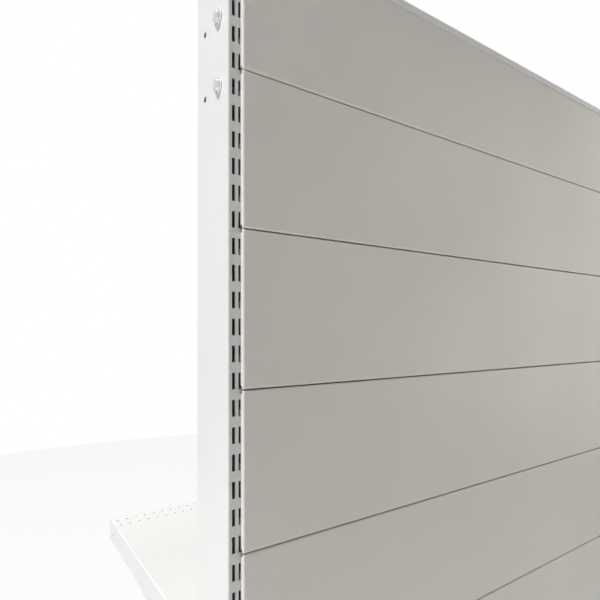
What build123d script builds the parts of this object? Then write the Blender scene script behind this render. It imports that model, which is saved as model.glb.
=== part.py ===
"""A double-sided gondola shelving unit: one bay of retail shelving that stands free on the floor.

Two slotted uprights are tied by a top and a base beam. Flat back panels hook into the slots on both
faces, and shelves hang from the same slots on tapered brackets. Base legs, base decks and kick plates
make the foot on each side.

Frame: X runs along the bay, -Y is the near side, +Y the far side and +Z is up. The origin is on the
floor, midway between the uprights. Left is -X. All sizes are in millimetres.
"""
from build123d import *
import os

os.makedirs("parts", exist_ok=True)

# Overall sizes
bay_pitch = 900.0  # centreline to centreline of the uprights
unit_height = 1800.0
shelf_reach = 446.0  # upright face to the front edge of a shelf

# Uprights: slotted box section, two columns of slots on each face
upright_width = 18.0
upright_depth = 75.0
upright_wall = 1.5
upright_corner = 1.8
slot_pitch = 25.0
slot_length = 15.4
slot_corner = 0.5
slot_offset = 3.3  # slot column to the upright's centreline
slot_top_margin = 7.0  # least metal between the top slot and the upright's end

# Slot numbers count up from the floor, and slot n has its lower end at n * slot_pitch
base_slots = 6  # lower edge of the lowest back panel
panel_slots = 6  # height of a back panel
near_shelf_slot = 24
far_lower_shelf_slot = 24
far_upper_shelf_slot = 42

# Sheet metal and fits
sheet = 1.0
bend_radius = 2.0
leg_sheet = 2.0
bracket_sheet = 1.6
hook_play = 0.2  # side play of a hook in its slot
hook_seat = 0.1  # a hook rests on the rounded lower corners of its slot
face_gap = 0.3  # between a shelf, bracket or leg and the face beside it
hook_lip = 2.0  # thickness of the part of a hook that drops behind the slotted wall

# Back panels
panel_proud = 5.6  # front of a panel to the upright's face
panel_gap = 1.2  # between one panel and the next
panel_flange = 12.0  # depth of the top and bottom flanges
panel_hook_height = 6.0
panel_hook_drop = 5.0
panel_back_gap = 0.1  # back edge of the bent-in ends to the upright's face
corner_relief = 3.0

# Top cover, caps and shoes
cover_lip = 10.0
cover_play = 0.2  # cover to the panels' fronts and tops
end_clearance = 0.5
cap_thickness = 2.0
shoe_thickness = 4.0
plug_length = 15.0
plug_wall = 2.0

# Beams and their bolts
beam_height = 100.0
beam_depth = 28.0
beam_wall = 1.5
beam_plate = 3.0
top_beam_drop = 125.5  # top of the unit to the top beam's centre
base_beam_height = 74.5  # floor to the base beam's centre
bolt_spacing = 67.0
bolt_inset = 21.0  # bolt holes to the upright's face
bolt_diameter = 6.0
bolt_clearance = 0.6  # bolt hole to bolt, on the diameter
bolt_length = 30.0
bolt_head = 3.0
bolt_flats = 10.0
washer_diameter = 16.0
washer_thickness = 1.2
nut_height = 5.0

# Shelves and base decks: shallow trays with a turned-down rim
tray_lip = 35.0
tray_hem = 12.0
tray_hem_gap = 2.0  # end of the hem to the end of its shelf
tray_back_rim = 25.0
tray_end_gap = 0.6  # shelf end to the middle of the bay line
shelf_rise = 12.0  # top of a shelf above the lower end of its top slot
back_gap = 1.0  # rear edge of a shelf to the panels
hole_diameter = 4.0
hole_pitch = 16.3
hole_row_front = 20.0
hole_row_back = 42.5
hole_end_margin = 6.0
side_hole_diameter = 4.5
side_hole_back = 23.5
side_hole_down = 21.5
hat_width = 36.0
hat_height = 20.0
hat_flange = 12.0
hat_place = 225.0  # upright face to the middle of the stiffener
hat_end_gap = 4.0

# Shelf brackets
bracket_hooks = 3
bracket_hook_height = 8.0
bracket_hook_drop = 6.0
bracket_heel = 13.0  # below the lowest slot that it hooks into
bracket_front = 56.0  # front end of a bracket to the front of its shelf
bracket_nose = 15.0
bracket_flange = 14.0
bracket_flange_start = 8.0

# Base legs, levelling screws and kick plates
leg_width = 18.0
leg_front = 34.0  # front end of a leg to the front of its deck
leg_arch = 30.0
leg_pad_back = 60.0
leg_pad_front = 52.0
leg_ramp = 15.0
leg_hook_height = 8.0
leg_hook_drop = 6.0
web_height = 24.0
web_thickness = 3.0
web_length = 40.0
screw_diameter = 8.0
screw_clearance = 1.0  # web hole to screw, on the diameter
screw_play = 0.05  # radial play of a bolt or screw in its washer or nut
screw_nut_flats = 13.0
screw_nut_height = 6.5
screw_length = 60.0
screw_inset = 30.0  # from the leg's front end
pad_diameter = 12.0
pad_height = 5.0
pad_chamfer = 1.0
pad_lift = 0.5  # the retracted pad's clearance over the floor
collar_flats = 10.0
collar_height = 4.0
kick_bottom = 8.0
kick_flange = 12.0
kick_gap = 3.0  # kick plate to the deck's rim

# Places that follow from the sizes above. A slot takes a bracket's hook and a panel's hook side by side
slot_width = bracket_sheet + sheet + 3 * hook_play
upright_x = bay_pitch / 2
upright_face = upright_depth / 2
inner_face_x = upright_x - upright_width / 2
upright_top = unit_height - cap_thickness
inner_corner = upright_corner - upright_wall / 2
slot_count = int((upright_top - slot_top_margin - slot_length) // slot_pitch)
slot_x = upright_x - slot_offset
slot_inner_edge = slot_x - slot_width / 2
slot_outer_edge = slot_x + slot_width / 2
panel_half = slot_inner_edge + hook_play + sheet
panel_front = upright_face + panel_proud
plate_half = slot_outer_edge - hook_play  # outer face of every bracket and leg
tray_half = bay_pitch / 2 - tray_end_gap
tray_back = panel_front + back_gap
tray_front = upright_face + shelf_reach
base_height = base_slots * slot_pitch
panel_height = panel_slots * slot_pitch
panel_rows = int((unit_height - base_height) // panel_height)
flange_half = inner_face_x - end_clearance
bolt_y = upright_face - bolt_inset
top_beam_z = unit_height - top_beam_drop
leg_inner = plate_half - leg_width
leg_end = tray_front - leg_front
leg_middle = plate_half - leg_width / 2
bolt_hole = bolt_diameter + bolt_clearance
screw_hole = screw_diameter + screw_clearance
rim_cut = 4 * bend_radius  # depth of the cuts across a tray's rear rim, centred on its back face
screw_y = leg_end - screw_inset
bracket_inner = plate_half - bracket_flange


def write(piece, label):
    """Name a finished piece and save it."""
    piece.part.label = label
    export_step(piece.part, f"parts/{label}.step")


def write_copy(source, label, lift=0.0, far=False, right=False):
    """Save a copy of a piece, raised by lift and mirrored to the far side or the right end."""
    with BuildPart() as piece:
        with Locations((0, 0, lift)):
            add(source.part)
        if far:
            mirror(about=Plane.XZ, mode=Mode.REPLACE)
        if right:
            mirror(about=Plane.YZ, mode=Mode.REPLACE)
    write(piece, label)


def hooks(outer_x, thickness, slots, height, drop, root_y):
    """Add downward hooks to a near-side piece: each tab passes its slot and drops behind the wall."""
    lip_back = -(upright_face - upright_wall - hook_play - hook_lip)
    with BuildSketch(Plane.YZ.offset(outer_x)) as profile:
        for slot in slots:
            with Locations((root_y, slot * slot_pitch + hook_seat)):
                Rectangle(lip_back - root_y, height, align=(Align.MIN, Align.MIN))
            with Locations((lip_back, slot * slot_pitch + hook_seat - drop)):
                Rectangle(hook_lip, height + drop, align=(Align.MAX, Align.MIN))
    extrude(profile.sketch, amount=thickness)


def make_upright(middle_x):
    """An upright: a rolled box section with two columns of slots in its near and far faces."""
    length = upright_top - shoe_thickness
    flat_width = upright_width - 2 * upright_corner
    slot_middle = slot_pitch * (slot_count + 1) / 2 + slot_length / 2
    bolt_heights = [z + s * bolt_spacing / 2 for z in (top_beam_z, base_beam_height) for s in (-1, 1)]
    with BuildPart() as upright:
        with BuildSketch(Plane.XY.offset(shoe_thickness)):
            with Locations((middle_x, 0)):
                RectangleRounded(upright_width, upright_depth, upright_corner)
                inside = (upright_width - 2 * upright_wall, upright_depth - 2 * upright_wall)
                RectangleRounded(*inside, inner_corner, mode=Mode.SUBTRACT)
                Rectangle(flat_width, upright_depth, mode=Mode.SUBTRACT)
        extrude(amount=length)
        with BuildSketch(Plane.YZ.offset(middle_x)):
            with Locations([(y, z) for y in (-bolt_y, bolt_y) for z in bolt_heights]):
                Circle(bolt_hole / 2)
        extrude(amount=upright_width, both=True, mode=Mode.SUBTRACT)
        for face_y, inwards in ((-upright_face, -upright_wall), (upright_face, upright_wall)):
            with BuildSketch(Plane.XZ.offset(-face_y)):
                with Locations((middle_x, shoe_thickness)):
                    Rectangle(flat_width, length, align=(Align.CENTER, Align.MIN))
                with Locations((middle_x, slot_middle)):
                    with GridLocations(2 * slot_offset, slot_pitch, 2, slot_count):
                        RectangleRounded(slot_width, slot_length, slot_corner, mode=Mode.SUBTRACT)
            extrude(amount=inwards, clean=False)
    return upright


def make_end_plug(plate_z, plate_thickness, plug_z):
    """A moulded plug for the left upright: a plate over the tube's end and a hollow spigot inside it."""
    inner_width = upright_width - 2 * upright_wall - 2 * hook_play
    inner_depth = upright_depth - 2 * upright_wall - 2 * hook_play
    with BuildPart() as plug:
        with BuildSketch(Plane.XY.offset(plate_z)):
            with Locations((-upright_x, 0)):
                RectangleRounded(upright_width, upright_depth, upright_corner)
        extrude(amount=plate_thickness)
        with BuildSketch(Plane.XY.offset(plug_z)):
            with Locations((-upright_x, 0)):
                RectangleRounded(inner_width, inner_depth, inner_corner)
                Rectangle(inner_width - 2 * plug_wall, inner_depth - 2 * plug_wall, mode=Mode.SUBTRACT)
        extrude(amount=plug_length)
    return plug


def make_beam(middle_z):
    """A box beam between the uprights, with an end plate bolted to each."""
    tube_length = 2 * (inner_face_x - beam_plate)
    with BuildPart() as beam:
        with Locations((0, -bolt_y, middle_z)):
            Box(tube_length, beam_depth, beam_height)
            inside = (beam_depth - 2 * beam_wall, beam_height - 2 * beam_wall)
            Box(tube_length, *inside, mode=Mode.SUBTRACT)
        with GridLocations(2 * inner_face_x - beam_plate, 1, 2, 1):
            with Locations((0, -bolt_y, middle_z)):
                Box(beam_plate, beam_depth, beam_height)
        with BuildSketch(Plane.YZ):
            with Locations((-bolt_y, middle_z)):
                with GridLocations(1, bolt_spacing, 1, 2):
                    Circle(bolt_hole / 2)
        extrude(amount=upright_x, both=True, mode=Mode.SUBTRACT)
    return beam


def bolt_points():
    """Place of every beam bolt on its upright's outer face, as (side, y, z)."""
    for side in (-1, 1):
        for middle_z in (top_beam_z, base_beam_height):
            for end in (-1, 1):
                yield side, -bolt_y, middle_z + end * bolt_spacing / 2


def along_x(side, distance):
    """A plane square to X at this distance from the middle, facing away from the middle."""
    return Plane(origin=(side * distance, 0, 0), x_dir=(0, side, 0), z_dir=(side, 0, 0))


def make_bolts():
    """Hexagon bolts through the uprights' side walls and the beams' end plates."""
    seat_x = upright_x + upright_width / 2 + washer_thickness
    with BuildPart() as bolts:
        for side, y, z in bolt_points():
            with BuildSketch(along_x(side, seat_x)):
                with Locations((side * y, z)):
                    RegularPolygon(bolt_flats / 2, 6, major_radius=False)
            extrude(amount=bolt_head)
            with BuildSketch(along_x(side, seat_x)):
                with Locations((side * y, z)):
                    Circle(bolt_diameter / 2)
            extrude(amount=-bolt_length)
    return bolts


def make_rings(inner_x, thickness, ring_shape):
    """A ring on every bolt, from inner_x outwards: a washer or a nut, as ring_shape draws it."""
    with BuildPart() as rings:
        for side, y, z in bolt_points():
            with BuildSketch(along_x(side, inner_x)):
                with Locations((side * y, z)):
                    ring_shape()
                    Circle(bolt_diameter / 2 + screw_play, mode=Mode.SUBTRACT)
            extrude(amount=thickness)
    return rings


def make_panel(height, hook_slots):
    """A near-side back panel with its lower edge at Z=0: a shallow pan hooked at both ends."""
    with BuildPart() as panel:
        with Locations((0, -panel_front, 0)):
            pan = (2 * panel_half, panel_proud - panel_back_gap, height)
            Box(*pan, align=(Align.CENTER, Align.MIN, Align.MIN))
        fillet(panel.faces().sort_by(Axis.Y)[0].edges(), bend_radius)
        offset(amount=-sheet, openings=panel.faces().sort_by(Axis.Y)[-1])
        flange_front = panel_front - bend_radius
        with Locations((0, -flange_front, 0), (0, -flange_front, height - sheet)):
            flange_run = panel_flange - bend_radius
            Box(2 * flange_half, flange_run, sheet, align=(Align.CENTER, Align.MIN, Align.MIN))
        relief_x = panel_half - corner_relief / 2
        for x in (-relief_x, relief_x):
            with Locations((x, -upright_face, 0), (x, -upright_face, height)):
                Box(corner_relief, 2 * (panel_proud - bend_radius), 2 * corner_relief, mode=Mode.SUBTRACT)
        for outer_x in (-panel_half, panel_half - sheet):
            root_y = -(upright_face + sheet)
            hooks(outer_x, sheet, hook_slots, panel_hook_height, panel_hook_drop, root_y)
    return panel


def make_cover():
    """The top cover: a channel laid over both rows of top panels, between the uprights' caps."""
    cover_half = panel_front + cover_play + sheet
    with BuildPart() as cover:
        with Locations((0, 0, unit_height)):
            Box(2 * flange_half, 2 * cover_half, cover_lip, align=(Align.CENTER, Align.CENTER, Align.MAX))
        long_edges = cover.edges().filter_by(Axis.X).group_by(Axis.Z)[-1]
        fillet(long_edges, bend_radius)
        ends = cover.faces().filter_by(Axis.X)
        offset(amount=-sheet, openings=[*ends, cover.faces().sort_by(Axis.Z)[0]])
    return cover


def make_tray(top_z, rim_gap):
    """A near-side shelf or deck: a pan open below, with two rows of fixing holes near its front."""
    with BuildPart() as tray:
        with Locations((0, -tray_front, top_z)):
            Box(2 * tray_half, tray_front - tray_back, tray_lip, align=(Align.CENTER, Align.MIN, Align.MAX))
        rim_edges = tray.faces().sort_by(Axis.Z)[-1].edges()
        fillet(rim_edges, bend_radius)
        offset(amount=-sheet, openings=tray.faces().sort_by(Axis.Z)[0])
        with Locations((0, -tray_front, top_z - tray_lip)):
            Box(2 * (tray_half - tray_hem_gap), tray_hem, sheet, align=(Align.CENTER, Align.MIN, Align.MIN))
        with Locations((0, -tray_back, top_z - tray_lip)):
            Box(2 * tray_half, rim_cut, 2 * (tray_lip - tray_back_rim), mode=Mode.SUBTRACT)
        notch = tray_half - rim_gap
        with GridLocations(2 * tray_half - notch, 1, 2, 1):
            with Locations((0, -tray_back, top_z - sheet)):
                notch_box = (notch, rim_cut, tray_lip)
                Box(*notch_box, align=(Align.CENTER, Align.CENTER, Align.MAX), mode=Mode.SUBTRACT)
        with BuildSketch(Plane.XY.offset(top_z)):
            holes = int((2 * tray_half - 2 * hole_end_margin) // hole_pitch) + 1
            with Locations((0, -tray_front + (hole_row_front + hole_row_back) / 2)):
                with GridLocations(hole_pitch, hole_row_back - hole_row_front, holes, 2):
                    Circle(hole_diameter / 2)
        extrude(amount=-2 * sheet, mode=Mode.SUBTRACT)
        with BuildSketch(Plane.YZ):
            with Locations((-tray_front + side_hole_back, top_z - side_hole_down)):
                Circle(side_hole_diameter / 2)
        extrude(amount=bay_pitch, both=True, mode=Mode.SUBTRACT)
    return tray


def make_stiffener(top_z):
    """A hat-section rail under a shelf, from one bracket's flange to the other."""
    half = bracket_inner - hat_end_gap
    with BuildPart() as hat:
        with BuildSketch(Plane.YZ.offset(-half)):
            with Locations((-(upright_face + hat_place), top_z)):
                Rectangle(hat_width + 2 * hat_flange, sheet, align=(Align.CENTER, Align.MAX))
                Rectangle(hat_width, hat_height, align=(Align.CENTER, Align.MAX))
                inside = (hat_width - 2 * sheet, hat_height - sheet)
                Rectangle(*inside, align=(Align.CENTER, Align.MAX), mode=Mode.SUBTRACT)
        extrude(amount=2 * half)
    return hat


def make_bracket(slot):
    """The near side's left shelf bracket: a tapered plate with hooks and a flange under the shelf."""
    top_z = slot * slot_pitch + shelf_rise - sheet
    heel_z = (slot - bracket_hooks + 1) * slot_pitch - bracket_heel
    back_y = -(upright_face + face_gap)
    front_y = -(tray_front - bracket_front)
    with BuildPart() as bracket:
        with BuildSketch(Plane.YZ.offset(-plate_half)):
            with BuildLine():
                Polyline(
                    (back_y, heel_z),
                    (back_y, top_z),
                    (front_y, top_z),
                    (front_y, top_z - bracket_nose),
                    close=True,
                )
            make_face()
        extrude(amount=bracket_sheet)
        with BuildSketch(Plane.XY.offset(top_z)):
            with Locations((-plate_half, front_y)):
                flange_run = -front_y - upright_face - bracket_flange_start
                Rectangle(bracket_flange, flange_run, align=(Align.MIN, Align.MIN))
        extrude(amount=-bracket_sheet)
        fillet(bracket.edges().filter_by(Axis.Y).group_by(Axis.Z)[-1].sort_by(Axis.X)[0], bend_radius)
        hook_slots = [slot - n for n in range(bracket_hooks)]
        hooks(-plate_half, bracket_sheet, hook_slots, bracket_hook_height, bracket_hook_drop, back_y)
    return bracket


def make_leg():
    """The near side's left base leg: a channel open below, arched between two floor pads."""
    top_z = base_height - sheet
    back = upright_face + face_gap
    with BuildPart() as leg:
        with BuildSketch(Plane.YZ.offset(-plate_half)):
            with BuildLine():
                Polyline(
                    (-back, 0),
                    (-back - leg_pad_back, 0),
                    (-back - leg_pad_back - leg_ramp, leg_arch),
                    (-leg_end + leg_pad_front + leg_ramp, leg_arch),
                    (-leg_end + leg_pad_front, 0),
                    (-leg_end, 0),
                    (-leg_end, top_z),
                    (-back, top_z),
                    close=True,
                )
            make_face()
        extrude(amount=leg_width)
        fillet(leg.edges().filter_by(Axis.Y).group_by(Axis.Z)[-1], bend_radius)
        with Locations((-leg_middle, -leg_end + leg_sheet, top_z - leg_sheet)):
            hollow = (leg_width - 2 * leg_sheet, leg_end - back - 2 * leg_sheet, base_height)
            Box(*hollow, align=(Align.CENTER, Align.MIN, Align.MAX), mode=Mode.SUBTRACT)
        with Locations((-leg_middle, -screw_y, web_height)):
            web = (leg_width - 2 * leg_sheet, web_length, web_thickness)
            Box(*web, align=(Align.CENTER, Align.CENTER, Align.MIN))
            Cylinder(screw_hole / 2, web_height, mode=Mode.SUBTRACT)
        hook_slots = range(1, base_slots, 2)
        hooks(-plate_half, leg_sheet, hook_slots, leg_hook_height, leg_hook_drop, -back)
    return leg


def make_leveller():
    """The near side's left levelling screw, wound fully in so that its pad clears the floor."""
    with BuildPart() as leveller:
        with Locations((-leg_middle, -screw_y, pad_lift)):
            Cylinder(pad_diameter / 2, pad_height, align=(Align.CENTER, Align.CENTER, Align.MIN))
        chamfer(leveller.edges().group_by(Axis.Z)[0], pad_chamfer)
        with BuildSketch(Plane.XY.offset(pad_lift + pad_height)):
            with Locations((-leg_middle, -screw_y)):
                RegularPolygon(collar_flats / 2, 6, major_radius=False)
        extrude(amount=collar_height)
        with Locations((-leg_middle, -screw_y, pad_lift + pad_height)):
            Cylinder(screw_diameter / 2, screw_length, align=(Align.CENTER, Align.CENTER, Align.MIN))
    return leveller


def make_leveller_nuts():
    """Weld nuts under the legs' webs, one for each levelling screw."""
    with BuildPart() as nuts:
        with BuildSketch(Plane.XY.offset(web_height)):
            with GridLocations(2 * leg_middle, 2 * screw_y, 2, 2):
                RegularPolygon(screw_nut_flats / 2, 6, major_radius=False, rotation=30)
                Circle(screw_diameter / 2 + screw_play, mode=Mode.SUBTRACT)
        extrude(amount=-screw_nut_height)
    return nuts


def make_kick_plate():
    """The near side's kick plate: a pan that stands in front of the legs under the deck."""
    top_z = base_height - tray_lip - kick_gap
    height = top_z - kick_bottom
    back = leg_end + face_gap
    with BuildPart() as kick:
        with Locations((0, -back, kick_bottom)):
            Box(2 * tray_half, sheet, height, align=(Align.CENTER, Align.MAX, Align.MIN))
        with Locations((0, -back, kick_bottom), (0, -back, top_z - sheet)):
            flange = (2 * (leg_inner - sheet), kick_flange, sheet)
            Box(*flange, align=(Align.CENTER, Align.MIN, Align.MIN))
    return kick


# The frame
write(make_upright(-upright_x), "upright_left")
write(make_upright(upright_x), "upright_right")
cap = make_end_plug(upright_top, cap_thickness, upright_top - plug_length)
write(cap, "upright_cap_left")
write_copy(cap, "upright_cap_right", right=True)
shoe = make_end_plug(0, shoe_thickness, shoe_thickness)
write(shoe, "upright_shoe_left")
write_copy(shoe, "upright_shoe_right", right=True)
write(make_beam(top_beam_z), "top_beam")
write(make_beam(base_beam_height), "base_beam")
write(make_bolts(), "beam_bolts")
washers = make_rings(upright_x + upright_width / 2, washer_thickness, lambda: Circle(washer_diameter / 2))
write(washers, "beam_washers")
nut_seat = inner_face_x - beam_plate
nuts = make_rings(nut_seat, -nut_height, lambda: RegularPolygon(bolt_flats / 2, 6, major_radius=False))
write(nuts, "beam_nuts")
write(make_cover(), "top_cover")

# The back panels, numbered upwards: the top row takes up what is left of the height under the cover
full_panel = make_panel(panel_height - panel_gap, range(1, panel_slots, 2))
top_row_z = base_height + (panel_rows - 1) * panel_height
top_slots = range(1, slot_count + 1 - base_slots - (panel_rows - 1) * panel_slots, 2)
top_panel = make_panel(unit_height - sheet - cover_play - top_row_z, top_slots)
for row in range(panel_rows):
    panel = top_panel if row == panel_rows - 1 else full_panel
    row_z = base_height + row * panel_height
    write_copy(panel, f"near_panel_{row + 1:02d}", lift=row_z)
    write_copy(panel, f"far_panel_{row + 1:02d}", lift=row_z, far=True)

# The foot on each side
leg = make_leg()
leveller = make_leveller()
deck = make_tray(base_height, leg_inner - sheet)
kick_plate = make_kick_plate()
for side, far in (("near", False), ("far", True)):
    write_copy(leg, f"{side}_leg_left", far=far)
    write_copy(leg, f"{side}_leg_right", far=far, right=True)
    write_copy(leveller, f"{side}_leveller_left", far=far)
    write_copy(leveller, f"{side}_leveller_right", far=far, right=True)
    write_copy(deck, f"{side}_base_deck", far=far)
    write_copy(kick_plate, f"{side}_kick_plate", far=far)
write(make_leveller_nuts(), "leveller_nuts")

# The shelves, each with two brackets and a stiffener
shelves = (
    ("near_shelf", near_shelf_slot, False),
    ("far_lower_shelf", far_lower_shelf_slot, True),
    ("far_upper_shelf", far_upper_shelf_slot, True),
)
for name, slot, far in shelves:
    shelf_top = slot * slot_pitch + shelf_rise
    bracket = make_bracket(slot)
    write_copy(make_tray(shelf_top, bracket_inner - sheet), name, far=far)
    write_copy(make_stiffener(shelf_top - sheet), f"{name}_stiffener", far=far)
    write_copy(bracket, f"{name}_bracket_left", far=far)
    write_copy(bracket, f"{name}_bracket_right", far=far, right=True)
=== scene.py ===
# %% [markdown]
# # A gondola shelving unit, one bay of shop shelving
#
# The unit is white powder-coated sheet steel: two slotted uprights, back panels that hook into the
# slots, trays on tapered brackets, and a low base with legs, decks and kick plates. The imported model
# gives every structural piece its true shape and place. This lesson adds what a maker sees close up:
# the coat and its wear, the zinc on the fasteners, and the small turned and moulded pieces.

# %% Start: load the frame
import math

import bpy
import numpy as np
from mathutils import Matrix, Vector


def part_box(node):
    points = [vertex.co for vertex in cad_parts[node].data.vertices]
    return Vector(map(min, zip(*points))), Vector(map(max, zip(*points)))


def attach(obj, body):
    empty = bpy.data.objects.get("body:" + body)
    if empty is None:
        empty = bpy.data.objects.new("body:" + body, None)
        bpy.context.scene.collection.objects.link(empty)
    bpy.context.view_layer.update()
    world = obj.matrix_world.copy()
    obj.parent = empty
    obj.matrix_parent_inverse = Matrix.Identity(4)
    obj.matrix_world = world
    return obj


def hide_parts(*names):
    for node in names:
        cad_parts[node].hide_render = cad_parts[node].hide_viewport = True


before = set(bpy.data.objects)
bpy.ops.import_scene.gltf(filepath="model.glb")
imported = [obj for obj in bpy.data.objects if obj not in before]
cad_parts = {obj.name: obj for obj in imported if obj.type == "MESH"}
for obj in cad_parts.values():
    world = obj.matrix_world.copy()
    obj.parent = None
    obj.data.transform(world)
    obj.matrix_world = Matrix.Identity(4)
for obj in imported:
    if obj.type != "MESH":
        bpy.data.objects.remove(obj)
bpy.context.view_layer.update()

# %% [markdown]
# ## Measures that later cells share
#
# Every place below is read from the model's own boxes, so nothing has to be fitted by eye. The right
# upright's outer face is the plane that the washers stand on, and the left end mirrors it. Lengths are
# in metres, as in the frame, and MM turns a workshop size into them.

# %% Measures from the frame
MM = 0.001
FULL_TURN = 2 * np.pi


def corners(node):
    """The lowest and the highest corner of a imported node's box, as arrays of three."""
    low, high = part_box(node)
    return np.array(low), np.array(high)


def round_angles(columns):
    """Angles round +Z, evenly spaced, without repeating the first one."""
    return np.linspace(0.0, FULL_TURN, columns, endpoint=False)


left_low, left_high = corners("upright_left")
right_face = corners("upright_right")[1][0]
upright_wide, upright_deep = (left_high - left_low)[:2]
print("upright", round(upright_wide / MM, 1), "x", round(upright_deep / MM, 1), "mm")

# %% [markdown]
# ## The camera
#
# The view stands beside the near left corner at chest height and looks along the bay, a little to the
# right and almost level. A wide lens of about 28 mm takes in the upright from close by, which is why
# the panels' seams run together so strongly. The camera is turned by yaw, then pitch, then a slight roll.

# %% Camera
CAMERA_PLACE = Vector((-0.6446, -0.4291, 1.4029))
YAW, PITCH, ROLL = (math.radians(angle) for angle in (33.86, 1.32, -0.21))
LENS, SHIFT = 28.04, (0.0037, 0.0352)


def make_camera():
    """Camera looking along yaw (from +Y towards +X) and pitch, rolled about its own axis."""
    data = bpy.data.cameras.new("camera")
    data.lens = LENS
    data.sensor_width = 36.0
    data.shift_x, data.shift_y = SHIFT
    data.clip_start = 0.01
    camera = bpy.data.objects.new("camera", data)
    ahead = Vector((math.sin(YAW) * math.cos(PITCH), math.cos(YAW) * math.cos(PITCH), math.sin(PITCH)))
    turn = ahead.to_track_quat("-Z", "Y").to_matrix().to_4x4()
    camera.matrix_world = Matrix.Translation(CAMERA_PLACE) @ turn @ Matrix.Rotation(ROLL, 4, "Z")
    bpy.context.scene.collection.objects.link(camera)
    bpy.context.scene.camera = camera
    return camera


camera = make_camera()
print("camera at", tuple(round(v, 3) for v in camera.location))

# %% [markdown]
# ## Studio
#
# The room is a pale sweep: a white surround, a matt floor and four soft lights. The key hangs high on
# the left, just behind the plane of the near panels, so it whitens the upright's side and the shelf
# tops and leaves the near face in soft shade. A low side light evens out the upright's foot. A small
# one over the near side glances down the panels, which draws a bright line under each seam, and a wide
# warm fill from the right lifts the shade.

# %% Lights, surround and floor


def area_light(name, place, target, size, power, colour=(1.0, 1.0, 1.0)):
    """A square area light at place that faces target; size in metres, power in watts."""
    data = bpy.data.lights.new(name, "AREA")
    data.shape = "SQUARE"
    data.size = size
    data.energy = power
    data.color = colour
    light = bpy.data.objects.new(name, data)
    light.location = place
    light.rotation_euler = (Vector(target) - Vector(place)).to_track_quat("-Z", "Y").to_euler()
    bpy.context.scene.collection.objects.link(light)
    return light


def make_surround(seen=1.0, lighting=0.115):
    """World light: white to the camera, and a weaker white for what it lights."""
    world = bpy.data.worlds.new("surround")
    bpy.context.scene.world = world
    world.use_nodes = True
    nodes, links = world.node_tree.nodes, world.node_tree.links
    nodes.clear()
    path = nodes.new("ShaderNodeLightPath")
    background = nodes.new("ShaderNodeBackground")
    background.inputs["Color"].default_value = (1.0, 1.0, 1.0, 1.0)
    strength = nodes.new("ShaderNodeMapRange")
    strength.inputs["To Min"].default_value = lighting
    strength.inputs["To Max"].default_value = seen
    output = nodes.new("ShaderNodeOutputWorld")
    links.new(path.outputs["Is Camera Ray"], strength.inputs["Value"])
    links.new(strength.outputs["Result"], background.inputs["Strength"])
    links.new(background.outputs["Background"], output.inputs["Surface"])
    return world


bpy.context.scene.view_settings.view_transform = "Standard"
make_surround()
area_light("key", (-2.9, 0.14, 6.6), (-0.4, 0.0, 1.2), 0.9, 440.0)
area_light("side", (-3.4, 0.22, 0.7), (-0.4, 0.0, 1.0), 0.5, 18.0)
area_light("top", (0.0, -1.5, 4.8), (0.0, 0.0, 1.0), 0.8, 26.0)
area_light("fill", (3.3, -1.7, 1.9), (0.2, 0.0, 1.3), 3.0, 36.0, (1.0, 0.955, 0.87))

# %% [markdown]
# The floor is a plain disc, wide enough to catch the light under the unit from every side.

# %% Floor


def floor_finish(glow=0.9):
    """Matt white that the camera sees washed out, as on an over-lit sweep; other rays see plain white."""
    material = bpy.data.materials.new("floor")
    material.use_nodes = True
    nodes, links = material.node_tree.nodes, material.node_tree.links
    matt = nodes["Principled BSDF"]
    matt.inputs["Base Color"].default_value = (0.88, 0.88, 0.88, 1.0)
    matt.inputs["Roughness"].default_value = 0.9
    lit = nodes.new("ShaderNodeEmission")
    path = nodes.new("ShaderNodeLightPath")
    share = nodes.new("ShaderNodeMath")
    share.operation = "MULTIPLY"
    share.inputs[1].default_value = glow
    mix = nodes.new("ShaderNodeMixShader")
    links.new(path.outputs["Is Camera Ray"], share.inputs[0])
    links.new(share.outputs[0], mix.inputs["Fac"])
    links.new(matt.outputs["BSDF"], mix.inputs[1])
    links.new(lit.outputs["Emission"], mix.inputs[2])
    links.new(mix.outputs[0], nodes["Material Output"].inputs["Surface"])
    return material


def make_floor(radius=6.0, steps=96):
    """A disc: points at radius * (cos a, sin a), and one face through them all."""
    angles = round_angles(steps)
    level = np.full(steps, -0.5 * MM)
    points = np.stack([radius * np.cos(angles), radius * np.sin(angles), level], axis=1)
    mesh = bpy.data.meshes.new("floor")
    mesh.from_pydata(points.tolist(), [], [list(range(steps))])
    floor = bpy.data.objects.new("floor", mesh)
    bpy.context.scene.collection.objects.link(floor)
    mesh.materials.append(floor_finish())
    return floor


make_floor()

# %% [markdown]
# ## Shader groups
#
# Powder coat is sprayed as dry powder and baked. It melts into a skin with a faint orange peel, it
# pulls thin over sharp sheet edges, and thin sheet under it is never quite flat. Each of these effects
# is a node group with named inputs, built once, and each finish places the groups with its own values.

# %% Node helpers


def set_inputs(tree, node, inputs):
    """Give a node its inputs: each is a plain value, or another node's socket to link."""
    for key, value in inputs.items():
        if isinstance(value, bpy.types.NodeSocket):
            tree.links.new(value, node.inputs[key])
        else:
            node.inputs[key].default_value = value


def add_node(tree, kind, inputs=None, **settings):
    """Add a shader node; inputs maps a socket's name or number to a value or to another socket."""
    node = tree.nodes.new(f"ShaderNode{kind}")
    for key, value in settings.items():
        setattr(node, key, value)
    set_inputs(tree, node, inputs or {})
    return node


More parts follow.
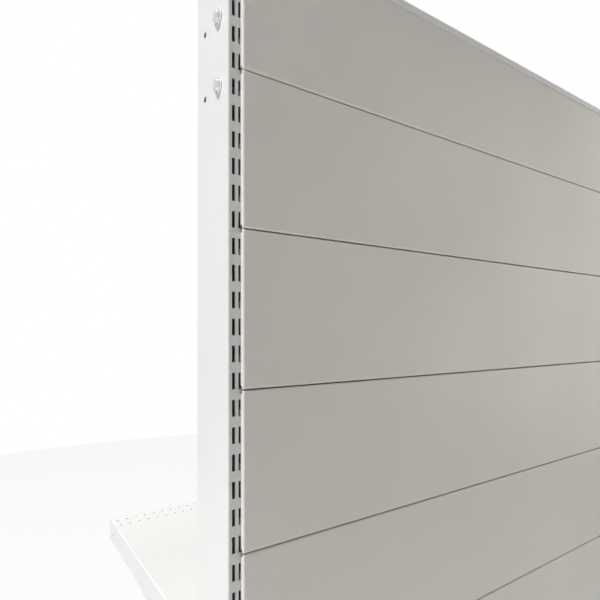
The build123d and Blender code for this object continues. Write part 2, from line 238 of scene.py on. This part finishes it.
def start_group(name, inputs, outputs):
    """An empty shader group; inputs maps names to (socket type, default), outputs names to types."""
    tree = bpy.data.node_groups.new(name, "ShaderNodeTree")
    for label, (kind, default) in inputs.items():
        socket = tree.interface.new_socket(label, in_out="INPUT", socket_type=f"NodeSocket{kind}")
        if default is not None:
            socket.default_value = default
    for label, kind in outputs.items():
        tree.interface.new_socket(label, in_out="OUTPUT", socket_type=f"NodeSocket{kind}")
    source = tree.nodes.new("NodeGroupInput")
    sink = tree.nodes.new("NodeGroupOutput")
    return tree, source.outputs, sink.inputs


def place_group(tree, group, inputs):
    """Place a shader group in a material's tree and set its inputs."""
    node = tree.nodes.new("ShaderNodeGroup")
    node.node_tree = group
    set_inputs(tree, node, inputs)
    return node.outputs


# %% [markdown]
# **Rounded edges.** The Bevel node looks around each point and turns the normal over a small radius,
# so a sharp model edge shades like the rolled edge of painted sheet. How far the turned normal leans
# from the flat one also says how near an edge is, which makes the mask for thin coat.

# %% Group: rounded edges


def group_edges():
    """Normal rounded over Radius; Edge = 1 - (rounded normal . true normal), stretched to 0..1."""
    tree, given, result = start_group(
        "rounded edges", {"Radius": ("Float", 0.6 * MM)}, {"Normal": "Vector", "Edge": "Float"}
    )
    bevel = add_node(tree, "Bevel", {"Radius": given["Radius"]}, samples=6)
    true = add_node(tree, "NewGeometry")
    normals = {0: bevel.outputs[0], 1: true.outputs["Normal"]}
    dot = add_node(tree, "VectorMath", normals, operation="DOT_PRODUCT")
    edge = add_node(
        tree, "MapRange", {"Value": dot.outputs["Value"], "From Min": 0.985, "From Max": 0.85}
    )
    tree.links.new(bevel.outputs[0], result["Normal"])
    tree.links.new(edge.outputs["Result"], result["Edge"])
    return tree


EDGES = group_edges()

# %% [markdown]
# **Sheet waves and orange peel.** Two scales of noise feed bump nodes one after the other. The long
# one is the slight oil-canning of thin sheet, tenths of a millimetre over a hand's width. The short
# one is the melt pattern of the coat, hundredths of a millimetre over a few millimetres.

# %% Group: sheet surface


def group_surface():
    """Normal bumped by Wave Depth at Wave Size, then by Peel Depth at Peel Size (all in metres)."""
    tree, given, result = start_group(
        "sheet surface",
        {
            "Normal": ("Vector", None),
            "Wave Size": ("Float", 0.12),
            "Wave Depth": ("Float", 0.3 * MM),
            "Peel Size": ("Float", 2.5 * MM),
            "Peel Depth": ("Float", 0.02 * MM),
        },
        {"Normal": "Vector", "Peel": "Float"},
    )
    place = add_node(tree, "TexCoord").outputs["Object"]
    bumped = given["Normal"]
    for label, detail in (("Wave", 0.0), ("Peel", 1.0)):
        scale = add_node(tree, "Math", {0: 1.0, 1: given[f"{label} Size"]}, operation="DIVIDE")
        noise = add_node(tree, "TexNoise", {"Vector": place, "Scale": scale.outputs[0], "Detail": detail})
        height = noise.outputs["Fac"]
        bump = add_node(
            tree, "Bump", {"Height": height, "Distance": given[f"{label} Depth"], "Normal": bumped}
        )
        bumped = bump.outputs["Normal"]
    tree.links.new(bumped, result["Normal"])
    tree.links.new(height, result["Peel"])
    return tree


SURFACE = group_surface()

# %% [markdown]
# **Handling and dust.** A shop fitting is wiped, leant on and stacked, so its gloss is uneven in
# broad cloudy patches. Fine dust settles only where a face looks up, so its mask is the normal's
# height times a slow noise.

# %% Group: handling and dust


def group_handling():
    """Cloud = smooth noise at Size, 0..1; Dust = how far the face looks up, times cloud at Size / 3."""
    tree, given, result = start_group(
        "handling", {"Size": ("Float", 0.2)}, {"Cloud": "Float", "Dust": "Float"}
    )
    place = add_node(tree, "TexCoord").outputs["Object"]
    scale = add_node(tree, "Math", {0: 1.0, 1: given["Size"]}, operation="DIVIDE")
    cloud = add_node(tree, "TexNoise", {"Vector": place, "Scale": scale.outputs[0], "Detail": 3.0})
    spread = add_node(tree, "MapRange", {"Value": cloud.outputs["Fac"], "From Min": 0.3, "From Max": 0.7})
    finer = add_node(tree, "Math", {0: scale.outputs[0], 1: 3.0}, operation="MULTIPLY")
    motes = add_node(tree, "TexNoise", {"Vector": place, "Scale": finer.outputs[0], "Detail": 6.0})
    normal = add_node(tree, "NewGeometry").outputs["Normal"]
    height = add_node(tree, "SeparateXYZ", {"Vector": normal}).outputs["Z"]
    level = add_node(tree, "MapRange", {"Value": height, "From Min": 0.6, "From Max": 1.0})
    dust = add_node(tree, "Math", {0: level.outputs[0], 1: motes.outputs["Fac"]}, operation="MULTIPLY")
    tree.links.new(spread.outputs["Result"], result["Cloud"])
    tree.links.new(dust.outputs[0], result["Dust"])
    return tree


HANDLING = group_handling()

# %% [markdown]
# ** Painted inside shade.** Powder is drawn to the outside of a tube and hardly enters it, so the inside of an
# upright is thinly coated steel. Here it is given a near-black colour, far darker than steel, as painted
# shade so that its slots look black. The mask is a box in the piece's own place: 1 within the given half
# width and half depth of the tube's middle, 0 outside it.

# %% Group: painted inside shade


def group_inside():
    """Inside = 1 where | |x| - Middle | < Half Width and |y| < Half Depth, softened over 0.4 mm."""
    tree, given, result = start_group(
        "painted inside shade",
        {"Middle": ("Float", 0.45), "Half Width": ("Float", 0.01), "Half Depth": ("Float", 0.04)},
        {"Inside": "Float"},
    )
    place = add_node(tree, "SeparateXYZ", {"Vector": add_node(tree, "TexCoord").outputs["Object"]}).outputs
    from_middle = add_node(tree, "Math", {0: place["X"]}, operation="ABSOLUTE")
    across = add_node(tree, "Math", {0: from_middle.outputs[0], 1: given["Middle"]}, operation="SUBTRACT")
    masks = []
    for offset, half in ((across.outputs[0], "Half Width"), (place["Y"], "Half Depth")):
        size = add_node(tree, "Math", {0: offset}, operation="ABSOLUTE").outputs[0]
        depth = add_node(tree, "Math", {0: given[half], 1: size}, operation="SUBTRACT").outputs[0]
        soft = {"Value": depth, "From Min": -0.2 * MM, "From Max": 0.2 * MM}
        masks.append(add_node(tree, "MapRange", soft).outputs["Result"])
    both = add_node(tree, "Math", {0: masks[0], 1: masks[1]}, operation="MULTIPLY")
    tree.links.new(both.outputs[0], result["Inside"])
    return tree


INSIDE = group_inside()

# %% [markdown]
# ## Powder coat
#
# One function makes every coated finish. The panels get longer waves, because they are the widest
# thin sheets, and their white is a shade warmer. The uprights are thick rolled section and stay flat.
# Near an edge the coat thins and greys a little, and here and there handling has rubbed it.

# %% Finish: powder coat
WHITE = (0.80, 0.80, 0.79)
WARM_WHITE = (0.775, 0.757, 0.71)
BASE_WHITE = (0.79, 0.79, 0.775)
PRIMER_GREY = (0.52, 0.52, 0.50, 1.0)
# Near-black painted shade for the inside of an upright, far darker than bare steel, so the slots look
# black.
INSIDE_SHADE_BLACK = (0.03, 0.03, 0.032, 1.0)
DUST_GREY = (0.66, 0.65, 0.62, 1.0)
DULLED = 0.955
WALL = 1.5 * MM


def blend_colour(tree, factor, first, second):
    """Mix node on colours: first where factor is 0, second where it is 1."""
    return add_node(tree, "Mix", {0: factor, 6: first, 7: second}, data_type="RGBA").outputs[2]


def new_material(name):
    """A material with its node tree, its Principled shader ready to feed."""
    material = bpy.data.materials.new(name)
    material.use_nodes = True
    return material, material.node_tree, material.node_tree.nodes["Principled BSDF"]


def feed(tree, shader, **sockets):
    """Link sockets to the shader's inputs; underscores stand for spaces."""
    for key, socket in sockets.items():
        tree.links.new(socket, shader.inputs[key.replace("_", " ")])


def powder_coat(
    name, white, wave_depth, wave_size=0.12, gloss=(0.34, 0.46), wear=0.35, dust=0.25, tube=False
):
    """Baked powder coat: two near whites in clouds, edge greying, settled dust, uneven gloss; with tube,
    painted shade inside.
    """
    material, tree, shader = new_material(name)
    edges = place_group(tree, EDGES, {"Radius": 0.7 * MM})
    surface = place_group(
        tree, SURFACE, {"Normal": edges["Normal"], "Wave Size": wave_size, "Wave Depth": wave_depth}
    )
    handling = place_group(tree, HANDLING, {})
    clean = tuple(white) + (1.0,)
    dull = tuple(channel * DULLED for channel in white) + (1.0,)
    coat = blend_colour(tree, handling["Cloud"], clean, dull)
    thin = add_node(tree, "Math", {0: edges["Edge"], 1: handling["Cloud"]}, operation="MULTIPLY")
    worn = add_node(tree, "Math", {0: thin.outputs[0], 1: wear}, operation="MULTIPLY")
    edged = blend_colour(tree, worn.outputs[0], coat, PRIMER_GREY)
    settled = add_node(tree, "Math", {0: handling["Dust"], 1: dust}, operation="MULTIPLY")
    colour = blend_colour(tree, settled.outputs[0], edged, DUST_GREY)
    # Painted shade: the inside of the tube takes a near-black colour so that its slots read dark.
    if tube:
        halves = {"Half Width": upright_wide / 2 - WALL, "Half Depth": upright_deep / 2 - WALL}
        middle = (left_low[0] + left_high[0]) / -2
        inside = place_group(tree, INSIDE, {"Middle": middle, **halves})["Inside"]
        colour = blend_colour(tree, inside, colour, INSIDE_SHADE_BLACK)
    sheen = add_node(
        tree, "MapRange", {"Value": handling["Cloud"], "To Min": gloss[0], "To Max": gloss[1]}
    )
    rough = add_node(tree, "Math", {0: sheen.outputs[0], 1: settled.outputs[0]}, operation="ADD")
    feed(tree, shader, Base_Color=colour, Roughness=rough.outputs[0], Normal=surface["Normal"])
    return material


COATS = {
    "upright": powder_coat("upright_coat", WHITE, wave_depth=0.05 * MM, tube=True),
    "panel": powder_coat("panel_coat", WARM_WHITE, wave_depth=0.35 * MM, wave_size=0.16, dust=0.1),
    "shelf": powder_coat("shelf_coat", WHITE, wave_depth=0.15 * MM),
    "base": powder_coat("base_coat", BASE_WHITE, wave_depth=0.15 * MM, wear=0.6, dust=0.5),
}
print("coats:", ", ".join(COATS))

# %% [markdown]
# ## Zinc plate and moulded plastic
#
# The fasteners are zinc plated: a bright grey metal with a cloudy bluish bloom and turning marks. The
# caps and shoes are moulded in light grey plastic with the fine spark-eroded grain of their mould.

# %% Finish: zinc plate


def zinc_plate(name):
    """Zinc: a third metal through its passivation, cloudy in colour and roughness, with fine scratches."""
    material, tree, shader = new_material(name)
    place = add_node(tree, "TexCoord").outputs["Object"]
    bloom = add_node(tree, "TexNoise", {"Vector": place, "Scale": 350.0, "Detail": 4.0}).outputs["Fac"]
    scratch = add_node(tree, "TexNoise", {"Vector": place, "Scale": 2400.0, "Detail": 2.0}).outputs["Fac"]
    colour = blend_colour(tree, bloom, (0.80, 0.82, 0.84, 1.0), (0.92, 0.92, 0.90, 1.0))
    rough = add_node(tree, "MapRange", {"Value": bloom, "To Min": 0.28, "To Max": 0.48})
    bump = add_node(tree, "Bump", {"Height": scratch, "Distance": 0.01 * MM})
    shader.inputs["Metallic"].default_value = 0.35
    feed(tree, shader, Base_Color=colour, Roughness=rough.outputs[0], Normal=bump.outputs[0])
    return material


ZINC = zinc_plate("zinc_plate")

# %% Finish: moulded plastic


def moulded_plastic(name, colour):
    """Moulded plastic: spark-eroded grain as bump, faint flow clouds in its colour."""
    material, tree, shader = new_material(name)
    edges = place_group(tree, EDGES, {"Radius": 0.4 * MM})
    grain = {"Wave Depth": 0.0, "Peel Size": 0.6 * MM, "Peel Depth": 0.04 * MM}
    surface = place_group(tree, SURFACE, {"Normal": edges["Normal"], **grain})
    handling = place_group(tree, HANDLING, {"Size": 0.05})
    paler = tuple(channel * 1.06 for channel in colour) + (1.0,)
    mixed = blend_colour(tree, handling["Cloud"], tuple(colour) + (1.0,), paler)
    rough = add_node(tree, "MapRange", {"Value": surface["Peel"], "To Min": 0.45, "To Max": 0.62})
    feed(tree, shader, Base_Color=mixed, Roughness=rough.outputs[0], Normal=surface["Normal"])
    return material


PLASTIC = moulded_plastic("cap_plastic", (0.72, 0.72, 0.71))

# %% [markdown]
# ## Turned and moulded pieces
#
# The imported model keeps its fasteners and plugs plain, because a solver only needs their outline. Close
# up they are rounder: a bolt head has a conical chamfer that cuts scallops into its flats, a screw has a
# thread, a cap is crowned. They could be modelled by hand with bevels, but each is a formula of two
# parameters, so it is worked out as a grid of points with numpy and becomes a mesh in one step.

# %% From grids of points to a piece


def round_grid(radius, height, columns):
    """Points (r cos a, r sin a, h); radius is one value a row, or rows x columns; height likewise."""
    angle = round_angles(columns)
    shape = (len(height), columns)
    radius = np.broadcast_to(np.reshape(radius, (len(height), -1)), shape)
    height = np.broadcast_to(np.reshape(height, (len(height), -1)), shape)
    return np.stack([radius * np.cos(angle), radius * np.sin(angle), height], axis=-1)


def skin_faces(rows, columns, start, closed):
    """Quads between neighbouring rows; the last row meets the first if closed, else both get a lid."""
    index = start + np.arange(rows * columns).reshape(rows, columns)
    following = np.roll(index, -1, axis=0) if closed else index[1:]
    index = index if closed else index[:-1]
    corners = [index, np.roll(index, -1, axis=1), np.roll(following, -1, axis=1), following]
    faces = np.stack(corners, axis=-1).reshape(-1, 4).tolist()
    if not closed:
        faces.append(index[0][::-1].tolist())
        faces.append(following[-1].tolist())
    return faces


def join_grids(name, grids, body, finish, closed=False, smooth=30.0):
    """One piece from several grids of points, each a watertight skin whose rows rise along its axis."""
    faces, start = [], 0
    for grid in grids:
        faces += skin_faces(*grid.shape[:2], start, closed)
        start += grid.shape[0] * grid.shape[1]
    mesh = bpy.data.meshes.new(name)
    points = np.concatenate([grid.reshape(-1, 3) for grid in grids])
    mesh.from_pydata(points.tolist(), [], faces)
    mesh.polygons.foreach_set("use_smooth", np.ones(len(faces), dtype=bool))
    mesh.set_sharp_from_angle(angle=math.radians(smooth))
    mesh.materials.append(finish)
    piece = bpy.data.objects.new(name, mesh)
    bpy.context.scene.collection.objects.link(piece)
    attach(piece, body)
    return piece


def out_along_x(grid, side, place, turn=0.0):
    """Turn a shape about its axis, then swing that axis from +Z to side * X and move it to its place."""
    x = grid[..., 0] * math.cos(turn) - grid[..., 1] * math.sin(turn)
    y = grid[..., 0] * math.sin(turn) + grid[..., 1] * math.cos(turn)
    return np.stack([side * grid[..., 2], side * x, y], axis=-1) + np.array(place)


# %% [markdown]
# **Hexagon heads.** Cold-forged heads start as a hexagon, and a die rounds their top with a 30 degree
# cone. Where the cone meets the six flats it leaves the scalloped edge that says "bolt". The head's
# radius at each angle is that of a hexagon, and its height drops along the cone outside the top's flat.
#
# **Threads.** A rolled thread is a ridge wound round the shank. Its radius falls by a triangle wave of
# height over pitch minus the turn, and the wave fades out at both ends, as on a real screw.

# %% Bolt and screw shapes


def hexagon(flats, columns):
    """Radius of a hexagon at each angle: half its width over flats, over cos of the angle to a flat."""
    sector = FULL_TURN / 6
    return flats / 2 / np.cos((round_angles(columns) + sector / 2) % sector - sector / 2)


def thread(radius, pitch, low, high, columns, samples=4, depth=0.54):
    """Rows of a screw thread: radius less a triangle wave, depth * pitch deep, that fades at the ends."""
    height = np.linspace(low, high, int((high - low) / pitch * samples))
    turn = round_angles(columns) / FULL_TURN
    wave = np.abs(2 * ((height[:, None] / pitch - turn[None, :]) % 1.0) - 1)
    fade = np.clip(np.minimum(height - low, high - height) / pitch, 0.0, 1.0)[:, None]
    return radius - depth * pitch * (1 - fade * wave), height


def hex_bolt(flats, head, radius, length, pitch=1.0 * MM, columns=36):
    """A bolt along +Z, from its tip up the shank to its seat, flats, cone and slightly dished top."""
    rim = hexagon(flats, columns)
    ridge, climb = thread(radius, pitch, -length, -2 * pitch, columns)
    crown = 0.47 * flats
    tip = np.full((1, columns), 0.02 * radius)
    seat = np.stack([np.full(columns, radius), np.full(columns, radius), 0.985 * rim, rim])
    cone = crown + np.linspace(1.0, 0.0, 5)[:, None] * (rim - crown)
    top = np.outer((0.9, 0.55, 0.02), np.full(columns, crown))
    straight = np.concatenate([[-length], climb, [-2 * pitch, 0.0, 0.0, 0.025 * head]])
    cone_height = head - (cone - crown) * math.tan(math.radians(30.0))
    dished = head * np.array([1.0, 0.97, 0.96])
    level = [np.outer(straight, np.ones(columns)), cone_height, np.outer(dished, np.ones(columns))]
    return round_grid(np.concatenate([tip, ridge, seat, cone, top]), np.concatenate(level), columns)


# %% Beam bolts in place
washer_low, washer_high = corners("beam_washers")
head_top = corners("beam_bolts")[1][0]
HEAD_FLATS = 10.0 * MM
BOLT_LENGTH = 30.0 * MM
BOLT_RADIUS = 3.0 * MM
BOLT_SPACING = 67.0 * MM
washer_wide = washer_high[1] - washer_low[1]
bolt_y = (washer_low[1] + washer_high[1]) / 2
bolt_lowest, bolt_highest = washer_low[2] + washer_wide / 2, washer_high[2] - washer_wide / 2
bolt_levels = (bolt_lowest, bolt_lowest + BOLT_SPACING, bolt_highest - BOLT_SPACING, bolt_highest)
BOLT_ENDS = [(side, level) for side in (-1, 1) for level in bolt_levels]


def make_bolts():
    """Eight bolts that point out of the uprights' sides, each stopped at its own angle."""
    bolt = hex_bolt(HEAD_FLATS, head_top - washer_high[0], BOLT_RADIUS, BOLT_LENGTH)
    turns = np.random.default_rng(6).uniform(-0.5, 0.5, len(BOLT_ENDS))
    grids = [
        out_along_x(bolt, side, (side * washer_high[0], bolt_y, level), turn)
        for (side, level), turn in zip(BOLT_ENDS, turns)
    ]
    piece = join_grids("hex_bolts", grids, "frame", ZINC, smooth=22.0)
    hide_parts("beam_bolts")
    return piece


bolts = make_bolts()
print("bolts:", len(BOLT_ENDS), "faces", len(bolts.data.polygons))

# %% [markdown]
# **Washers.** A punched washer has slightly rounded rims. Its section is a superellipse: cos and sin of
# the turn, each raised to a power below one, keep the faces flat and round only the corners.

# %% Washers
WASHER_HOLE = 3.05 * MM


def ring(inner, outer, thickness, columns=48, steps=20, power=0.3):
    """A closed ring round +Z that stands on height 0; its section is a superellipse of that power."""
    turn = round_angles(steps)
    across, upward = (np.sign(wave) * np.abs(wave) ** power for wave in (np.cos(turn), np.sin(turn)))
    radius = (inner + outer) / 2 + (outer - inner) / 2 * across
    return round_grid(radius, thickness / 2 * (1 + upward), columns)


def make_washers():
    """A washer under each bolt head, against the upright's side."""
    washer = ring(WASHER_HOLE, washer_wide / 2, washer_high[0] - right_face)
    grids = [out_along_x(washer, side, (side * right_face, bolt_y, level)) for side, level in BOLT_ENDS]
    piece = join_grids("round_washers", grids, "frame", ZINC, closed=True, smooth=50.0)
    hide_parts("beam_washers")
    return piece


washers = make_washers()
print("washers: faces", len(washers.data.polygons))

# %% [markdown]
# **Levelling feet.** Under each leg a stud carries a hexagon collar for the spanner and a round pad on
# the floor. One profile climbs from the pad's underside, round its rim, in to the collar and up the
# thread. Only the collar's rows take the hexagon's radius, and all the rest are circles.

# %% Levelling feet
STUD_PITCH = 1.25 * MM
STUD_RADIUS = 4.0 * MM
PAD_HEIGHT = 5.0 * MM
PAD_RIM = 1.0 * MM
COLLAR_HEIGHT = 4.0 * MM
COLLAR_FLATS = 10.0 * MM
COLLAR_BEVEL = 0.4 * MM


def levelling_foot(low, high, columns=24):
    """Pad with a rounded rim, chamfered hexagon collar and threaded stud between two heights."""
    pad = (high[0] - low[0]) / 2
    quarter = np.linspace(0.0, np.pi / 2, 5)
    under = pad - PAD_RIM * (1 - np.sin(quarter))
    under_height = low[2] + PAD_RIM * (1 - np.cos(quarter))
    over = pad - PAD_RIM / 2 * (1 - np.cos(quarter))
    over_height = low[2] + PAD_HEIGHT - PAD_RIM / 2 * (1 - np.sin(quarter))
    flat = hexagon(COLLAR_FLATS, columns)
    collar = np.stack([flat - COLLAR_BEVEL, flat, flat, flat - COLLAR_BEVEL])
    collar_low = low[2] + PAD_HEIGHT
    collar_high = collar_low + COLLAR_HEIGHT
    collar_height = [collar_low, collar_low + COLLAR_BEVEL, collar_high - COLLAR_BEVEL, collar_high]
    ridge, climb = thread(STUD_RADIUS, STUD_PITCH, collar_high, high[2] - STUD_RADIUS / 4, columns)
    middle, end = np.array([0.02 * pad]), STUD_RADIUS * np.array([0.8, 0.02])
    circles = [np.outer(radius, np.ones(columns)) for radius in (middle, under, over)]
    radius = np.concatenate([*circles, collar, ridge, np.outer(end, np.ones(columns))])
    height = np.concatenate([low[2:], under_height, over_height, collar_height, climb, high[[2, 2]]])
    return round_grid(radius, height, columns) + np.array([*(low + high)[:2] / 2, 0.0])


def make_foot(side, end):
    """A levelling foot in place of the plain one, riding on its own screw joint's body."""
    node = f"{side}_leveller_{end}"
    low, high = corners(node)
    piece = join_grids(f"{side}_foot_{end}", [levelling_foot(low, high)], node, ZINC, smooth=40.0)
    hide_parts(node)
    return piece


feet = [make_foot(side, end) for side in ("near", "far") for end in ("left", "right")]
print("feet:", len(feet), "faces each", len(feet[0].data.polygons))

# %% [markdown]
# **End caps.** The cap that closes an upright is moulded: a crowned plate with a soft rim, and a hollow
# plug below that grips inside the tube. A profile of insets and heights is carried along the upright's
# outline, a rectangle with round corners, which shrinks with the inset until it closes on its middle.

# %% Upright caps
UPRIGHT_CORNER = 1.8 * MM
PLUG_WALL = 2.0 * MM
PLUG_INSET = WALL + 0.2 * MM
CAP_PLATE = 2.0 * MM
CAP_RIM = 0.8 * MM
CAP_CROWN = 0.4 * MM


def round_outline(half_wide, half_deep, corner, columns=64):
    """Rectangle with round corners: four quarter turns about the corners' centres, straight between."""
    angle = round_angles(columns) + FULL_TURN / columns / 2
    across = (half_wide - corner) * np.sign(np.cos(angle)) + corner * np.cos(angle)
    along = (half_deep - corner) * np.sign(np.sin(angle)) + corner * np.sin(angle)
    return np.stack([across, along], axis=-1)


def upright_cap(low, high):
    """Rows from inside the plug down, round its end, up its outside, round the plate's rim to its top."""
    half_wide, half_deep = (high - low)[:2] / 2
    plate = high[2] - CAP_PLATE
    soft = 0.5 * MM
    hollow = PLUG_INSET + PLUG_WALL
    quarter = np.linspace(0.0, np.pi / 2, 6)
    over = np.linspace(0.15, 0.97, 7)
    inset = [hollow + soft, hollow, hollow, PLUG_INSET + soft, PLUG_INSET, PLUG_INSET, soft / 5, 0.0]
    inset = np.concatenate([inset, CAP_RIM * (1 - np.cos(quarter)), CAP_RIM + over * (half_wide - CAP_RIM)])
    level = [plate, plate - soft, low[2], low[2], low[2] + soft, plate, plate, plate + soft / 5]
    rounded = high[2] - CAP_CROWN - CAP_RIM * (1 - np.sin(quarter))
    level = np.concatenate([level, rounded, high[2] - CAP_CROWN * (1 - over) ** 2])
    corner = np.minimum(np.maximum(UPRIGHT_CORNER - inset, CAP_CROWN), half_wide - inset)
    plans = [round_outline(half_wide - i, half_deep - i, c) for i, c in zip(inset, corner)]
    heights = np.broadcast_to(level[:, None, None], (len(level), len(plans[0]), 1))
    return np.concatenate([np.stack(plans), heights], axis=-1) + np.array([*(low + high)[:2] / 2, 0.0])


def make_cap(end):
    """A crowned cap in place of the plain one."""
    node = f"upright_cap_{end}"
    low, high = corners(node)
    piece = join_grids(f"crowned_cap_{end}", [upright_cap(low, high)], "frame", PLASTIC)
    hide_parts(node)
    return piece


caps = [make_cap(end) for end in ("left", "right")]
print("caps: faces each", len(caps[0].data.polygons))

# %% [markdown]
# ## Spot welds
#
# A stiffener is welded to its shelf through its two flanges. Each weld leaves a shallow round crater on
# the flange's underside, with a raised rim that the coat softens. It could be a bump in the material,
# but a weld catches light from the side, so each is a low disc whose height is a ring: a cosine hump
# that falls to a dip in the middle and to the sheet at its edge. One piece carries a shelf's whole set.

# %% Weld marks under the shelves
WELD_RADIUS = 3.2 * MM
WELD_RIM = 0.22 * MM
WELDS_IN_A_ROW = 8
FLANGE = 12.0 * MM
SHEET = 1.0 * MM


def weld_mark(columns=16):
    """A disc that hangs down: depth = rim * (1 - cos(2 pi r)) / 2 for r from 0.15 to 1, plus a skin."""
    share = np.linspace(0.15, 1.0, 7)
    skin, sunk = WELD_RIM / 10, WELD_RIM / 2
    depth = WELD_RIM * (1 - np.cos(FULL_TURN * share)) / 2 + skin
    radius = np.concatenate([share, [1.0, 0.1]]) * WELD_RADIUS
    return round_grid(radius, np.concatenate([-depth, [sunk, sunk]]), columns)


def make_welds(shelf):
    """Welds along both flanges of one shelf's stiffener, riding with the shelf."""
    low, high = corners(f"{shelf}_stiffener")
    margin = 2 * FLANGE
    along = np.linspace(low[0] + margin, high[0] - margin, WELDS_IN_A_ROW)
    rows = (low[1] + FLANGE / 2, high[1] - FLANGE / 2)
    grids = [weld_mark() + np.array([x, y, high[2] - SHEET]) for y in rows for x in along]
    return join_grids(f"{shelf}_welds", grids, shelf, COATS["shelf"])


welds = [make_welds(shelf) for shelf in ("near_shelf", "far_lower_shelf", "far_upper_shelf")]
print("welds:", len(welds), "sets of", 2 * WELDS_IN_A_ROW)

# %% [markdown]
# ## Dressing the structure
#
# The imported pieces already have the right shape, so each only takes its finish. The pairs below are
# read in order, and the first word found in a piece's name decides.

# %% Assign the finishes
DRESS = (
    ("stiffener", COATS["shelf"]),
    ("cap", PLASTIC),
    ("shoe", PLASTIC),
    ("upright", COATS["upright"]),
    ("panel", COATS["panel"]),
    ("bracket", COATS["upright"]),
    ("shelf", COATS["shelf"]),
    ("cover", COATS["shelf"]),
    ("deck", COATS["base"]),
    ("kick", COATS["base"]),
    ("leg_", COATS["base"]),
    ("beam_bolts", ZINC),
    ("beam_washers", ZINC),
    ("nuts", ZINC),
    ("leveller", ZINC),
    ("beam", COATS["upright"]),
)


def dress(name, piece):
    """Give a structural piece the first finish whose key word its name holds."""
    finish = next(material for word, material in DRESS if word in name)
    piece.data.materials.clear()
    piece.data.materials.append(finish)
    return finish.name


dressed = [dress(name, piece) for name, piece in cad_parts.items()]
print({finish: dressed.count(finish) for finish in sorted(set(dressed))})
